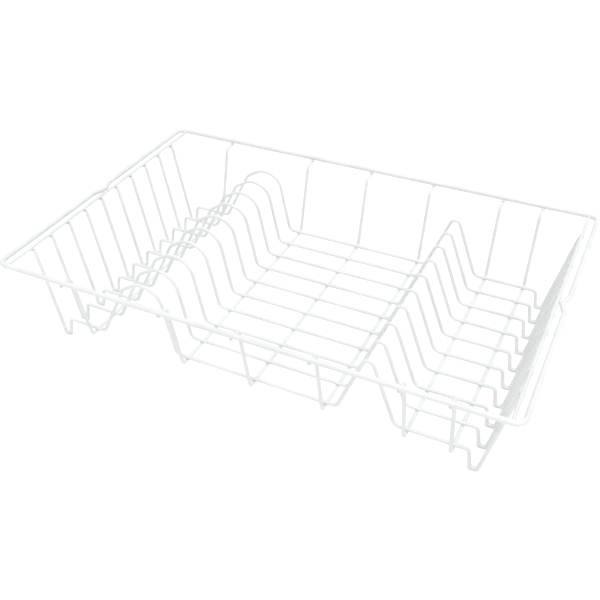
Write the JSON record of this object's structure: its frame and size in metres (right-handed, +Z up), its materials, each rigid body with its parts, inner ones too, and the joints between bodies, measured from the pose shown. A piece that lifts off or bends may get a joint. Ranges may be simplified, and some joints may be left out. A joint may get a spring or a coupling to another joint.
{
  "type": "dish drying rack",
  "caption": "Oblong wire basket with a thick rim and rows of humped wires that hold plates on edge, standing on feet bent from the same wires, for drying dishes.",
  "frame": {"origin": "on the worktop, under the middle of the rack: halfway along the rim, halfway across it, at the height of the feet's lowest line", "axes": "+X along the rack towards the end with the pointed humps, +Y across the rack from front to back, +Z up"},
  "size_m": [0.485, 0.3224, 0.0995],
  "materials": {
    "white_coating": "semi-gloss plastic-like coating"
  },
  "bodies": {
    "root": {"rim_wire": "white_coating", "left_end_rail": "white_coating", "right_end_rail": "white_coating", "plate_wire_01": "white_coating", "plate_wire_02": "white_coating", "plate_wire_03": "white_coating", "plate_wire_04": "white_coating", "plate_wire_05": "white_coating", "plate_wire_06": "white_coating", "plate_wire_07": "white_coating", "plate_wire_08": "white_coating", "plate_wire_09": "white_coating", "plate_wire_10": "white_coating", "cross_wire_1": "white_coating", "cross_wire_2": "white_coating", "cross_wire_3": "white_coating", "cross_wire_4": "white_coating", "cross_wire_5": "white_coating", "cross_wire_6": "white_coating"}
  },
  "joints": []
}
